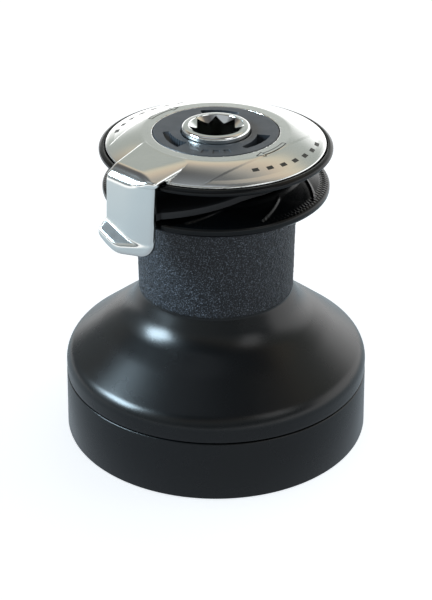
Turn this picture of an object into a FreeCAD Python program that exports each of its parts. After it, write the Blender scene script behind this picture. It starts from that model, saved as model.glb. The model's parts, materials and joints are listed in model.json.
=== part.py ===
"""Two-speed self-tailing deck winch, +Z up, origin at the centre of the base's underside, millimetres."""
import FreeCAD, Part
import math
import os

import Sketcher

doc = FreeCAD.newDocument("winch")
sheet = doc.addObject("Spreadsheet::Sheet", "Sizes")

# Driving dimensions. A "radius" is measured from the winch's axis unless its name says otherwise.
SIZES = {
    # base housing
    "base_radius": 74.4, "base_top_radius": 73.55, "base_height": 30.0, "base_wall": 4.0, "floor": 6.0,
    "bolt_circle": 118.0, "bolt_hole": 3.3, "bolt_count": 5,
    "pillar_circle": 43.0, "pillar_radius": 6.0, "foot_depth": 2.0, "foot_boss": 9.0,
    # drum
    "seam": 0.6, "skirt_radius": 73.4, "skirt_bore": 66.0, "shoulder_z": 40.2, "shoulder_round": 10.8,
    "barrel_radius": 37.6, "foot_radius": 37.1, "foot_z": 66.46, "foot_round": 16.0,
    "grip_radius": 37.0, "grip_start": 75.0, "grip_end": 106.0,
    "shelf_z": 119.0, "neck_radius": 32.0, "neck_bore": 27.0, "neck_top": 138.5, "neck_step": 112.0,
    "drum_bore": 31.1, "inner_shelf": 57.5, "ring_seat": 42.0,
    # centre stem and bearings
    "flange_z": 43.5, "flange_top": 48.0, "flange_radius": 53.0, "stem_radius": 24.0, "stem_bore": 17.0,
    "stem_step": 57.0, "stem_step_radius": 30.0, "stem_top": 145.0, "stem_tip": 147.4,
    "roller_radius": 3.5, "roller_length": 18.0, "roller_count": 16, "lower_bearing": 58.2,
    "upper_bearing": 92.4, "fit": 0.05,
    # jaws
    "jaw_radius": 52.9, "jaw_bottom": 122.3, "jaw_hub_top": 134.0, "jaw_rim_top": 129.2,
    "upper_radius": 53.9, "upper_rim": 145.2, "groove_radius": 38.0,
    "lug_height": 2.0, "lug_width": 6.0, "spring_circle": 34.8, "spring_radius": 2.0, "spring_count": 9,
    # cover, arm and lock disc
    "cover_radius": 50.7, "cover_edge": 148.05, "cover_top": 153.0, "cover_flat": 34.0, "disc_radius": 28.9,
    "arm_inside": 55.2, "arm_floor": 148.6, "arm_fold": 152.6, "arm_brow": 145.5, "arm_bottom": 111.0,
    "stripper_radius": 36.6, "tail_radius": 51.0,
    # handle spindle
    "spindle_top": 156.0, "head_radius": 15.8, "head_z": 125.0, "shaft_radius": 11.0, "journal_radius": 9.0,
    "socket_square": 17.46, "socket_depth": 24.0, "hub_radius": 13.2,
    # gears
    "gear_module": 2.0, "ring_teeth": 58, "low_drive_teeth": 17, "low_idler_teeth": 23, "pinion_teeth": 18,
    "high_drive_teeth": 28, "high_idler_teeth": 12, "ring_radius": 65.9, "ring_bottom": 22.0,
    "low_gear_z": 10.0, "low_gear_width": 10.0, "pinion_z": 23.0, "pinion_width": 8.0,
    "high_gear_z": 33.0, "high_gear_width": 8.0,
    "low_pin_radius": 5.0, "high_pin_radius": 4.0, "pin_shoulder": 6.0, "pin_top": 46.0,
    # screws
    "stem_screw": 3.0, "ring_screw": 1.5, "ring_screw_circle": 63.2, "ring_screw_top": 44.5,
    "jaw_screw": 2.0, "jaw_screw_circle": 29.5, "jaw_screw_bottom": 128.0,
    # ratchets
    "ratchet_teeth": 10, "ratchet_tip": 13.7, "ratchet_root": 16.6, "pawl_pivot": 10.2, "pawl_reach": 15.0,
}
for row, (alias, number) in enumerate(SIZES.items(), start=1):
    sheet.set(f"A{row}", str(number))
    sheet.setAlias(f"A{row}", alias)
doc.recompute()

PRESSURE_ANGLE = math.radians(25)
BACKLASH = 0.2
FIRST_BOLT_AZIMUTH = 54.0
LOW_IDLER_AZIMUTH = 90.0
HIGH_IDLER_A_AZIMUTH = 200.0
PILLAR_AZIMUTHS = (20.0, 155.0, 285.0)
STRIPPER_TAIL_START = -62.0
STRIPPER_TAIL_END = -118.0
STRIPPER_TONGUE_END = -139.0
KEY_AZIMUTHS = (45.0, 225.0)
SLOT_WIDE_ENDS = (107.0, -13.0, -133.0)
SLOT_SWEEP = 44.0
PAWL_SWEEP = 38.0          # angle from a pawl's pivot to its tip, seen from the ratchet's centre
RATCHET_FACE = 49.0        # angle of the tooth face that stops the pawl's tip
RATCHET_RAMP = 0.45        # share of a ratchet tooth that is ramp, the rest is its root
PAWL_FOLD = 20.0           # how far a pawl folds in under the ratchet's teeth

nodes = {}


def size(alias):
    return float(sheet.get(alias))


def formula(text):
    """Turn plain size names into references to the sheet's cells."""
    words = []
    for word in str(text).split():
        words.append(f"Sizes.{word}" if word in SIZES else word)
    return " ".join(words)


def number_of(text):
    """Value of a formula of size names, for code that needs the number itself."""
    total = 0.0
    sign = 1.0
    for word in str(text).split():
        if word in "+-":
            sign = 1.0 if word == "+" else -1.0
        else:
            total += sign * (size(word) if word in SIZES else float(word))
    return total


def polar(radius, azimuth, height=0.0):
    angle = math.radians(azimuth)
    return FreeCAD.Vector(radius * math.cos(angle), radius * math.sin(angle), height)


def keep(node, thing):
    thing.Label = node
    nodes[node] = thing
    return thing


def cylinder(radius, bottom, top, distance="0", azimuth=0.0):
    """An upright cylinder between two heights, its axis a distance from the winch's axis."""
    thing = doc.addObject("Part::Cylinder", "cylinder")
    cosine = round(math.cos(math.radians(azimuth)), 9)
    sine = round(math.sin(math.radians(azimuth)), 9)
    thing.setExpression("Radius", formula(radius))
    thing.setExpression("Height", f"({formula(top)}) - ({formula(bottom)})")
    thing.setExpression(".Placement.Base.x", f"({formula(distance)}) * {cosine}")
    thing.setExpression(".Placement.Base.y", f"({formula(distance)}) * {sine}")
    thing.setExpression(".Placement.Base.z", formula(bottom))
    return thing


def block(depth, width, bottom, top, distance="0", azimuth=0.0):
    """An upright block starting a distance out, its depth along the radius at that azimuth."""
    thing = doc.addObject("Part::Box", "block")
    thing.setExpression("Length", formula(depth))
    thing.setExpression("Width", formula(width))
    thing.setExpression("Height", f"({formula(top)}) - ({formula(bottom)})")
    along = polar(1, azimuth)
    across = polar(1, azimuth - 90)
    thing.Placement.Rotation = FreeCAD.Rotation(FreeCAD.Vector(0, 0, 1), azimuth)
    for name, far, side in (("x", along.x, across.x), ("y", along.y, across.y)):
        thing.setExpression(f".Placement.Base.{name}",
                            f"({formula(distance)}) * {far:.9f} + ({formula(width)}) / 2 * {side:.9f}")
    thing.setExpression(".Placement.Base.z", formula(bottom))
    return thing


def cut(base, *tools):
    thing = doc.addObject("Part::Cut", "cut")
    thing.Base = base
    thing.Tool = tools[0] if len(tools) == 1 else fuse(*tools)
    return thing


def fuse(*shapes):
    thing = doc.addObject("Part::MultiFuse", "fuse")
    thing.Shapes = list(shapes)
    return thing


def common(base, tool):
    thing = doc.addObject("Part::Common", "common")
    thing.Base = base
    thing.Tool = tool
    return thing


def group(*shapes):
    thing = doc.addObject("Part::Compound", "group")
    thing.Links = list(shapes)
    return thing


def plane_of(body, role):
    return next(item for item in body.Origin.OriginFeatures if item.Role == role)


def profile(body, points, plane="XZ_Plane"):
    """A closed outline in a body whose corners are bound to the sheet."""
    sketch = body.newObject("Sketcher::SketchObject", "profile")
    sketch.AttachmentSupport = [(plane_of(body, plane), "")]
    sketch.MapMode = "FlatFace"
    corners = [FreeCAD.Vector(number_of(across), number_of(up), 0) for across, up in points]
    count = len(corners)
    for index in range(count):
        sketch.addGeometry(Part.LineSegment(corners[index], corners[(index + 1) % count]))
    for index in range(count):
        sketch.addConstraint(Sketcher.Constraint("Coincident", index, 2, (index + 1) % count, 1))
    for index, (across, up) in enumerate(points):
        for kind, text, value in (("DistanceX", across, corners[index].x), ("DistanceY", up, corners[index].y)):
            made = sketch.addConstraint(Sketcher.Constraint(kind, -1, 1, index, 1, value))
            sketch.setExpression(f"Constraints[{made}]", formula(text))
    return sketch


def lathe(points, rounds=()):
    """A turned body from its half section; rounds are (radius, height, fillet) of edges to round."""
    body = doc.addObject("PartDesign::Body", "turned")
    sketch = profile(body, points)
    turn = body.newObject("PartDesign::Revolution", "turn")
    turn.Profile = sketch
    turn.ReferenceAxis = (sketch, ["V_Axis"])
    turn.Angle = 360
    body.Tip = turn
    doc.recompute()
    last = turn
    for radius, height, fillet in rounds:
        last = round_edge(body, last, radius, height, fillet)
    return body


def round_edge(body, base, radius, height, fillet):
    """Round the circular edge at this radius and height."""
    for index, edge in enumerate(base.Shape.Edges, start=1):
        curve = edge.Curve
        if not isinstance(curve, Part.Circle):
            continue
        if abs(curve.Radius - number_of(radius)) < 0.01 and abs(curve.Center.z - number_of(height)) < 0.01:
            feature = body.newObject("PartDesign::Fillet", "round")
            feature.Base = (base, [f"Edge{index}"])
            feature.setExpression("Radius", formula(fillet))
            body.Tip = feature
            doc.recompute()
            return feature
    raise RuntimeError(f"no edge at radius {radius}, height {height}")


def solid_feature(shape, placement=None):
    thing = doc.addObject("Part::Feature", "solid")
    thing.Shape = shape
    if placement is not None:
        thing.Placement = placement
    return thing


# ---------------------------------------------------------------- gears and ratchets

def involute_angle(radius, base_radius):
    roll = math.sqrt(max((radius / base_radius) ** 2 - 1, 0))
    return roll - math.atan(roll)


def half_tooth(teeth, radius, thinned):
    """Half the tooth's angle at a radius, in radians."""
    pitch_radius = size("gear_module") * teeth / 2
    base_radius = pitch_radius * math.cos(PRESSURE_ANGLE)
    at_pitch = math.pi / (2 * teeth) - thinned / (2 * pitch_radius)
    radius = max(radius, base_radius)
    return at_pitch + involute_angle(pitch_radius, base_radius) - involute_angle(radius, base_radius)


def gear_outline(teeth, inner, outer, phase, thinned):
    """A closed gear wire: one arc for each flank, tip and root."""
    base_radius = size("gear_module") * teeth / 2 * math.cos(PRESSURE_ANGLE)
    low = max(inner, base_radius)
    middle = (low + outer) / 2
    halves = {radius: half_tooth(teeth, radius, thinned) for radius in (low, middle, outer)}
    step = 2 * math.pi / teeth
    edges = []

    def point(radius, angle):
        return FreeCAD.Vector(radius * math.cos(angle), radius * math.sin(angle), 0)

    for index in range(teeth):
        centre = math.radians(phase) + index * step
        rise = [point(radius, centre - halves[radius]) for radius in (low, middle, outer)]
        fall = [point(radius, centre + halves[radius]) for radius in (outer, middle, low)]
        start = point(inner, centre - halves[low])
        finish = point(inner, centre + halves[low])
        following = point(inner, centre + step - halves[low])
        if low > inner:
            edges.append(Part.makeLine(start, rise[0]))
        edges.append(Part.Arc(*rise).toShape())
        edges.append(Part.Arc(rise[2], point(outer, centre), fall[0]).toShape())
        edges.append(Part.Arc(*fall).toShape())
        if low > inner:
            edges.append(Part.makeLine(fall[2], finish))
        edges.append(Part.Arc(finish, point(inner, centre + step / 2), following).toShape())
    return Part.Wire(edges)


def gear_shape(teeth, phase, width, bore):
    """An outside gear standing on the origin, with a round bore or a ready face to cut."""
    pitch_radius = size("gear_module") * teeth / 2
    outline = gear_outline(teeth, pitch_radius - 1.25 * size("gear_module"),
                           pitch_radius + size("gear_module"), phase, BACKLASH / 2)
    blank = Part.Face(outline).extrude(FreeCAD.Vector(0, 0, width))
    if bore:
        blank = blank.cut(Part.makeCylinder(bore, width))
    return blank


def ring_gear_shape(phase, width):
    """The inside-toothed ring: a disc less a gear-shaped hole whose teeth are the ring's spaces."""
    teeth = int(size("ring_teeth"))
    pitch_radius = size("gear_module") * teeth / 2
    tip = pitch_radius - 0.85 * size("gear_module")
    root = pitch_radius + 1.25 * size("gear_module")
    hole = gear_outline(teeth, tip, root, phase, -BACKLASH / 2)
    teeth_cut = Part.Face(hole).extrude(FreeCAD.Vector(0, 0, width))
    return Part.makeCylinder(size("ring_radius"), width).cut(teeth_cut)


def fraction(phase, teeth, direction):
    """Where the nearest tooth lies past a direction, in teeth from -0.5 to 0.5."""
    pitch = 360.0 / teeth
    offset = (phase - direction) / pitch
    return offset - round(offset)


def meshed_outside(phase, teeth, direction, other_teeth):
    """Phase of a gear that meshes with another from outside, in that direction from the first."""
    pitch = 360.0 / other_teeth
    return direction + 180 - fraction(phase, teeth, direction) * pitch + pitch / 2


def meshed_in_ring(space_phase, direction, other_teeth):
    """Phase of a gear that meshes inside the ring, in that direction from the ring's centre."""
    offset = fraction(space_phase, int(size("ring_teeth")), direction)
    return direction + offset * 360.0 / other_teeth


def ratchet_hole(width):
    """The space inside a ratchet: each tooth a radial face and a ramp."""
    count = int(size("ratchet_teeth"))
    points = []
    for index in range(count):
        angle = RATCHET_FACE + index * 360.0 / count
        points.append(polar(size("ratchet_root"), angle))
        points.append(polar(size("ratchet_tip"), angle))
        points.append(polar(size("ratchet_root"), angle + RATCHET_RAMP * 360.0 / count))
    points.append(points[0])
    return Part.Face(Part.makePolygon(points)).extrude(FreeCAD.Vector(0, 0, width))


def pawl_shape(width, spare=0.0, fold=0.0):
    """A pawl, thick at its pivot and thin at its tip; spare makes it larger all round."""
    pivot = polar(size("pawl_pivot"), 0)
    tip = polar(size("pawl_reach"), PAWL_SWEEP)
    turn = FreeCAD.Rotation(FreeCAD.Vector(0, 0, 1), fold)
    tip = pivot + turn.multVec(tip - pivot)
    along = (tip - pivot).normalize()
    across = FreeCAD.Vector(along.y, -along.x, 0)
    thick = 2.3 + spare
    thin = 0.8 + spare
    corners = [pivot + across * thick, tip + across * thin, tip - across * thin, pivot - across * thick]
    web = Part.Face(Part.makePolygon(corners + corners[:1])).extrude(FreeCAD.Vector(0, 0, width))
    ends = [Part.makeCylinder(thick, width, pivot), Part.makeCylinder(thin, width, tip)]
    return web.multiFuse(ends).removeSplitter()


def pawl_pocket(width):
    """The room a pawl sweeps through, with clearance."""
    swept = [pawl_shape(width, 0.35, fold) for fold in (5, 10, 15, PAWL_FOLD + 2)]
    return pawl_shape(width, 0.35, 0).multiFuse(swept + [spring_leaf(width, 0.1)])


def spring_leaf(width, spare=0.0):
    """A flat leaf spring that lies along the floor of a pawl's pocket, or its seat if there is spare room."""
    start = polar(6.3, 20)
    leaf = Part.makeBox(0.4 + 2 * spare, 6.0 + 2 * spare, width, start - FreeCAD.Vector(spare, spare, 0))
    leaf.rotate(start, FreeCAD.Vector(0, 0, 1), 30)
    return leaf


def turned_copies(shape, angles, centre=FreeCAD.Vector(0, 0, 0)):
    """Copies of a shape turned about an upright axis through the origin, then moved to a centre."""
    made = []
    for angle in angles:
        copy = shape.copy()
        copy.rotate(FreeCAD.Vector(0, 0, 0), FreeCAD.Vector(0, 0, 1), angle)
        copy.translate(centre)
        made.append(copy)
    return made


# ---------------------------------------------------------------- pieces that stand still

def gear_places():
    """Centres of the low idler and the two high idlers, from the tooth counts."""
    module = size("gear_module")
    low = module * (size("low_drive_teeth") + size("low_idler_teeth")) / 2
    first = module * (size("high_drive_teeth") + size("high_idler_teeth")) / 2
    second = module * (size("ring_teeth") - size("high_idler_teeth")) / 2
    apart = module * size("high_idler_teeth")
    swing = math.degrees(math.acos((first ** 2 + second ** 2 - apart ** 2) / (2 * first * second)))
    return {
        "low": (low, LOW_IDLER_AZIMUTH),
        "high_a": (first, HIGH_IDLER_A_AZIMUTH),
        "high_b": (second, HIGH_IDLER_A_AZIMUTH + swing),
    }


PLACES = gear_places()


def base_housing():
    cup = lathe([
        ("0", "0"), ("base_radius", "0"), ("base_top_radius", "base_height"),
        ("base_top_radius - base_wall", "base_height"), ("base_top_radius - base_wall", "floor"),
        ("14", "floor"), ("14", "foot_boss"), ("journal_radius + fit", "foot_boss"),
        ("journal_radius + fit", "foot_depth"), ("0", "foot_depth"),
    ], rounds=[("base_top_radius", "base_height", "0.5")])
    posts = [cylinder("pillar_radius", "floor - 1", "flange_z", "pillar_circle", az) for az in PILLAR_AZIMUTHS]
    boss = cylinder("8", "floor - 1", "low_gear_z - 0.3", PLACES["low"][0], PLACES["low"][1])
    holes = [cylinder("stem_screw", "25", "flange_z + 1", "pillar_circle", az) for az in PILLAR_AZIMUTHS]
    holes.append(cylinder("low_pin_radius", "foot_depth", "low_gear_z", *PLACES["low"]))
    for name in ("high_a", "high_b"):
        holes.append(cylinder("pin_shoulder", "foot_depth", "floor + 1", *PLACES[name]))
    bolts = int(size("bolt_count"))
    for index in range(bolts):
        azimuth = FIRST_BOLT_AZIMUTH + index * 360.0 / bolts
        holes.append(cylinder("bolt_hole", "0 - 1", "floor + 1", "bolt_circle / 2", azimuth))
    keep("base_housing", cut(fuse(cup, boss, *posts), *holes))


def centre_stem():
    tube = lathe([
        ("stem_bore", "flange_z"), ("flange_radius", "flange_z"), ("flange_radius", "flange_top"),
        ("stem_step_radius", "flange_top"), ("stem_step_radius", "stem_step"), ("stem_radius", "stem_step"),
        ("stem_radius", "stem_top"), ("stem_radius - 1.1", "stem_top"), ("stem_radius - 1.1", "stem_tip"),
        ("20.1", "stem_tip"), ("20.1", "140.5"), ("stem_bore", "140.5"),
    ])
    holes = [cylinder("stem_screw", "flange_z - 1", "flange_top + 1", "pillar_circle", az)
             for az in PILLAR_AZIMUTHS]
    holes.append(cylinder("low_pin_radius", "flange_z - 1", "pin_top", *PLACES["low"]))
    for name in ("high_a", "high_b"):
        holes.append(cylinder("high_pin_radius", "flange_z - 1", "pin_top", *PLACES[name]))
    slots = [block("4", "4", "143", "stem_tip + 1", "21", az) for az in KEY_AZIMUTHS]
    keep("centre_stem", cut(tube, *holes, *slots))


def stem_screws():
    screws = []
    for azimuth in PILLAR_AZIMUTHS:
        shank = cylinder("stem_screw", "25", "flange_top + 0.5", "pillar_circle", azimuth)
        head = cylinder("5", "flange_top", "flange_top + 3.2", "pillar_circle", azimuth)
        drive = cylinder("2.2", "flange_top + 1.4", "flange_top + 4", "pillar_circle", azimuth)
        screws.append(cut(fuse(shank, head), drive))
    keep("stem_screws", group(*screws))


def gear_pins():
    keep("low_idler_pin", cylinder("low_pin_radius", "foot_depth", "pin_top", *PLACES["low"]))
    pins = []
    for name in ("high_a", "high_b"):
        thick = cylinder("pin_shoulder", "foot_depth", "high_gear_z - 0.3", *PLACES[name])
        thin = cylinder("high_pin_radius", "floor", "pin_top", *PLACES[name])
        pins.append(fuse(thick, thin))
    keep("high_idler_pins", group(*pins))
    sleeve = cylinder("8", "pinion_z + pinion_width + 0.8", "flange_z - 0.2", *PLACES["low"])
    hole = cylinder("low_pin_radius + 0.1", "pinion_z", "flange_z", *PLACES["low"])
    keep("pinion_spacer", cut(sleeve, hole))


def rings_and_bushes():
    inner = "stem_radius + 0.1"
    outer = "drum_bore - 0.4"
    spacer_low = "lower_bearing + roller_length + 0.4"
    spacer = cut(cylinder("stem_radius + 3", spacer_low, "upper_bearing - 0.4"),
                 cylinder(inner, spacer_low, "upper_bearing"))
    keep("bearing_spacer", spacer)
    washers = []
    heights = (("stem_step", "stem_step + 1"), ("upper_bearing + roller_length + 0.5", "neck_step - 0.1"))
    for low, high in heights:
        washers.append(cut(cylinder(outer, low, high), cylinder(inner, low, high)))
    keep("thrust_washers", group(*washers))
    lower = cut(cylinder("stem_bore", "flange_z + 0.5", "56"), cylinder("shaft_radius + fit", "flange_z", "57"))
    upper = cut(cylinder("stem_bore", "128", "140"), cylinder("head_radius + fit", "127", "141"))
    keep("spindle_bushes", group(lower, upper))


def line_stripper():
    """A ring in the groove between the jaws; its tail winds outwards and leads the line to the arm."""
    section = lathe([
        ("neck_radius + 0.8", "jaw_hub_top + 0.4"), ("groove_radius", "jaw_hub_top + 0.4"),
        ("52", "jaw_rim_top + 0.4"), ("arm_inside", "jaw_rim_top + 0.4"), ("arm_inside", "jaw_rim_top + 4.4"),
        ("50", "jaw_rim_top + 4.4"), ("groove_radius + 1", "jaw_hub_top + 2.4"),
        ("groove_radius - 1.5", "neck_top - 0.4"), ("neck_radius + 0.8", "neck_top - 0.4"),
    ])
    ring_radius = size("stripper_radius")
    growth = size("tail_radius") - ring_radius
    bottom = 128.0
    steps = 28
    outer = []
    for index in range(steps + 1):
        share = index / steps
        azimuth = STRIPPER_TAIL_START + (STRIPPER_TAIL_END - STRIPPER_TAIL_START) * share
        outer.append(polar(ring_radius + growth * share ** 1.3, azimuth, bottom))
    tongue = [polar(size("arm_inside"), STRIPPER_TAIL_END - 3, bottom),
              polar(size("arm_inside"), STRIPPER_TONGUE_END, bottom),
              polar(40, STRIPPER_TONGUE_END - 4, bottom)]
    round_part = [polar(ring_radius, azimuth, bottom) for azimuth in range(-150, -420, -10)]
    outline = Part.makePolygon(outer + tongue + round_part + outer[:1])
    plan = solid_feature(Part.Face(outline).extrude(FreeCAD.Vector(0, 0, 18)))
    keep("line_stripper", common(plan, section))


def arm_plan(corners, low, high=None, top_corners=None):
    """A solid over a plan outline, or lofted from one outline to another."""
    bottom = [FreeCAD.Vector(x, y, low) for x, y in corners]
    wire = Part.makePolygon(bottom + bottom[:1])
    if top_corners is None:
        return Part.Face(wire).extrude(FreeCAD.Vector(0, 0, high - low))
    top = [FreeCAD.Vector(x, y, high) for x, y in top_corners]
    return Part.makeLoft([wire, Part.makePolygon(top + top[:1])], True, True)


def feeder_arm_cover():
    """The turned cover with the arm that wraps down past both jaws."""
    cover = lathe([
        ("stem_radius - 1", "stem_top"), ("31.5", "stem_top"), ("31.5", "150.4"),
        ("cover_radius - 1.2", "146.9"), ("cover_radius", "146.9"), ("cover_radius", "cover_edge"),
        ("43.5", "151.1"), ("cover_flat", "cover_top"), ("disc_radius + 0.2", "cover_top"),
        ("disc_radius + 0.2", "stem_tip"), ("stem_radius - 1", "stem_tip"),
    ])
    roots = [(-10.6, -31.0), (-22.0, -24.0), (-32.8, -7.5)]
    fold = [(-45.0, -32.5), (-30.8, -44.0)]
    brow = [(-49.4, -29.4), (-37.0, -44.7), (-27.7, -50.4)]
    brow_height = size("arm_brow")
    roof = arm_plan(roots + brow, brow_height, size("arm_fold"), roots + [fold[0], (-38.4, -38.9), fold[1]])
    inner = [(x * 0.945, y * 0.945) for x, y in brow]
    wall = arm_plan(brow + inner[::-1], size("arm_bottom"), brow_height + 0.01)
    lip = arm_plan([(-44.5, -26.5), (-49.5, -28.5), (-38.5, -45.5), (-34.0, -42.5)], 116.5, 121.5)
    flare = arm_plan([(-47.5, -27.6), (-52.6, -29.0), (-43.0, -46.5), (-35.5, -44.0)], 111.5, 120.0,
                     [(-46.5, -28.0), (-49.6, -29.4), (-40.5, -42.5), (-35.5, -43.0)])
    room = Part.makeCylinder(size("arm_inside"), size("arm_floor") - 100, FreeCAD.Vector(0, 0, 100))
    core = Part.makeCylinder(31.0, 20, FreeCAD.Vector(0, 0, 140))
    arm = roof.multiFuse([wall, lip, flare]).cut(room).cut(core).removeSplitter()
    slots = [block("4", "4", "143", "stem_tip + 1", "21", az) for az in KEY_AZIMUTHS]
    keep("feeder_arm_cover", cut(fuse(cover, solid_feature(arm)), *slots))
    keys = [block("3.8", "3.8", "143.1", "stem_tip", "21.1", az) for az in KEY_AZIMUTHS]
    keep("cover_keys", group(*keys))


def cover_lock_disc():
    """Screwed into the stem's mouth; three ramped finger slots turn it."""
    disc = lathe([
        ("head_radius + 0.4", "141"), ("20", "141"), ("20", "stem_tip + 0.1"),
        ("disc_radius", "stem_tip + 0.1"), ("disc_radius", "cover_top"), ("head_radius + 0.4", "cover_top"),
    ], rounds=[("disc_radius", "cover_top", "0.4")])
    wedges = []
    slot_floor = size("cover_top") - 4
    steps = 8
    for wide_end in SLOT_WIDE_ENDS:
        inner = []
        outer = []
        for index in range(steps + 1):
            share = index / steps
            azimuth = wide_end - SLOT_SWEEP * share
            inner.append(polar(19.2 + 2.4 * share, azimuth, slot_floor))
            outer.append(polar(25.4 - 1.6 * share, azimuth, slot_floor))
        outline = Part.makePolygon(inner + outer[::-1] + inner[:1])
        wedges.append(Part.Face(outline).extrude(FreeCAD.Vector(0, 0, 8)))
    keep("cover_lock_disc", cut(disc, solid_feature(Part.makeCompound(wedges))))


# ---------------------------------------------------------------- drum and jaws

def screws_up(node, radius, bottom, top, head_radius, head_bottom, head_top, distance, azimuths):
    made = []
    for azimuth in azimuths:
        shank = cylinder(radius, bottom, top, distance, azimuth)
        head = cylinder(head_radius, head_bottom, head_top, distance, azimuth)
        made.append(fuse(shank, head))
    keep(node, group(*made))


RING_TEETH = int(size("ring_teeth"))
RING_SCREW_AZIMUTHS = [360.0 / RING_TEETH * (index * RING_TEETH // 6 + 0.5) + 90 for index in range(6)]
JAW_SCREW_AZIMUTHS = [30.0 + index * 60 for index in range(6)]
LUG_AZIMUTHS = (90.0, 210.0, 330.0)


def spring_azimuths():
    count = int(size("spring_count"))
    return [(index + 0.5) * 360.0 / count + 10 for index in range(count)]


def drum():
    body = lathe([
        ("skirt_bore", "base_height + seam"), ("skirt_radius", "base_height + seam"),
        ("skirt_radius", "shoulder_z"), ("foot_radius", "foot_z"), ("foot_radius", "grip_start"),
        ("grip_radius", "grip_start"), ("barrel_radius", "grip_end"), ("barrel_radius", "shelf_z"),
        ("neck_radius", "shelf_z"), ("neck_radius", "neck_top"), ("neck_bore", "neck_top"),
        ("neck_bore", "neck_step"), ("drum_bore", "neck_step"), ("drum_bore", "inner_shelf"),
        ("44.3", "inner_shelf"), ("59.5", "ring_seat + 3.8"), ("59.5", "ring_seat"),
        ("skirt_bore", "ring_seat"),
    ], rounds=[("skirt_radius", "shoulder_z", "shoulder_round"), ("foot_radius", "foot_z", "foot_round")])
    lugs = [block("lug_height + 1", "lug_width", "shelf_z - 0.5", "jaw_hub_top - 4", "neck_radius - 1", azimuth)
            for azimuth in LUG_AZIMUTHS]
    holes = [cylinder("spring_radius + 0.1", "shelf_z - 6", "shelf_z + 1", "spring_circle", azimuth)
             for azimuth in spring_azimuths()]
    holes += [cylinder("jaw_screw", "jaw_screw_bottom", "neck_top + 1", "jaw_screw_circle", azimuth)
              for azimuth in JAW_SCREW_AZIMUTHS]
    holes += [cylinder("ring_screw", "ring_seat - 1", "ring_screw_top", "ring_screw_circle", azimuth)
              for azimuth in RING_SCREW_AZIMUTHS]
    keep("drum", cut(fuse(body, *lugs), *holes))


def drum_gear_ring():
    width = size("ring_seat") - size("ring_bottom")
    circle = size("ring_screw_circle")
    ring = ring_gear_shape(RING_SPACE_PHASE, width)
    for azimuth in RING_SCREW_AZIMUTHS:
        ring = ring.cut(Part.makeCylinder(size("ring_screw"), width, polar(circle, azimuth)))
        ring = ring.cut(Part.makeCylinder(2.5, 3, polar(circle, azimuth)))
    keep("drum_gear_ring", solid_feature(ring, FreeCAD.Placement(
        FreeCAD.Vector(0, 0, size("ring_bottom")), FreeCAD.Rotation())))
    screws_up("ring_screws", "ring_screw", "ring_bottom + 1", "ring_screw_top", "2.4", "ring_bottom + 0.3",
              "ring_bottom + 3", "ring_screw_circle", RING_SCREW_AZIMUTHS)


def upper_jaw():
    body = lathe([
        ("26", "neck_top"), ("groove_radius", "neck_top"), ("52.3", "upper_rim - 1.1"),
        ("upper_radius", "upper_rim"), ("upper_radius - 0.3", "upper_rim + 1.4"),
        ("upper_radius - 1.3", "upper_rim + 2.2"), ("51.4", "upper_rim + 2.1"), ("51.2", "upper_rim + 1"),
        ("34", "upper_rim"), ("32.5", "144.3"), ("26", "144.3"),
    ])
    holes = []
    for azimuth in JAW_SCREW_AZIMUTHS:
        holes.append(cylinder("jaw_screw", "neck_top - 1", "145", "jaw_screw_circle", azimuth))
        holes.append(cylinder("jaw_screw + 1.5", "141", "146", "jaw_screw_circle", azimuth))
    keep("upper_jaw", cut(body, *holes))
    screws_up("upper_jaw_screws", "jaw_screw", "jaw_screw_bottom", "142", "jaw_screw + 1.4", "141", "144",
              "jaw_screw_circle", JAW_SCREW_AZIMUTHS)


def lower_jaw():
    body = lathe([
        ("neck_radius + 0.1", "jaw_bottom"), ("barrel_radius + 0.4", "jaw_bottom"),
        ("barrel_radius + 0.4", "shelf_z - 0.8"), ("barrel_radius + 2", "shelf_z - 0.8"),
        ("barrel_radius + 3", "jaw_bottom"), ("jaw_radius - 1.9", "124"),
        ("jaw_radius - 0.3", "125.3"), ("jaw_radius", "126.6"), ("jaw_radius - 0.7", "128.3"),
        ("jaw_radius - 2.1", "jaw_rim_top"), ("groove_radius", "jaw_hub_top"),
        ("neck_radius + 0.1", "jaw_hub_top"),
    ])
    slots = [block("lug_height + 2.3", "lug_width + 0.5", "jaw_bottom - 1", "jaw_hub_top + 1",
                   "neck_radius - 2", azimuth) for azimuth in LUG_AZIMUTHS]
    seats = [cylinder("spring_radius + 0.2", "jaw_bottom - 1", "jaw_bottom + 1.2", "spring_circle", azimuth)
             for azimuth in spring_azimuths()]
    keep("lower_jaw", cut(body, *slots, *seats))


def jaw_springs():
    """Coil springs between the drum's shelf and the lower jaw."""
    low = size("shelf_z") - 5.9
    high = size("jaw_bottom") + 1.1
    wire = 0.4
    coil_radius = size("spring_radius") - wire
    helix = Part.makeHelix((high - low - 2 * wire) / 5, high - low - 2 * wire, coil_radius)
    start = FreeCAD.Vector(coil_radius, 0, 0)
    section = Part.Wire([Part.makeCircle(wire, start, FreeCAD.Vector(0, 1, 0))])
    coil = Part.Wire(helix.Edges).makePipeShell([section], True, True)
    coils = [solid for azimuth in spring_azimuths()
             for solid in turned_copies(coil, [azimuth], polar(size("spring_circle"), azimuth, low + wire))]
    keep("jaw_springs", solid_feature(Part.makeCompound(coils)))


# ---------------------------------------------------------------- spindle, gears, pawls, bearings

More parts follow.
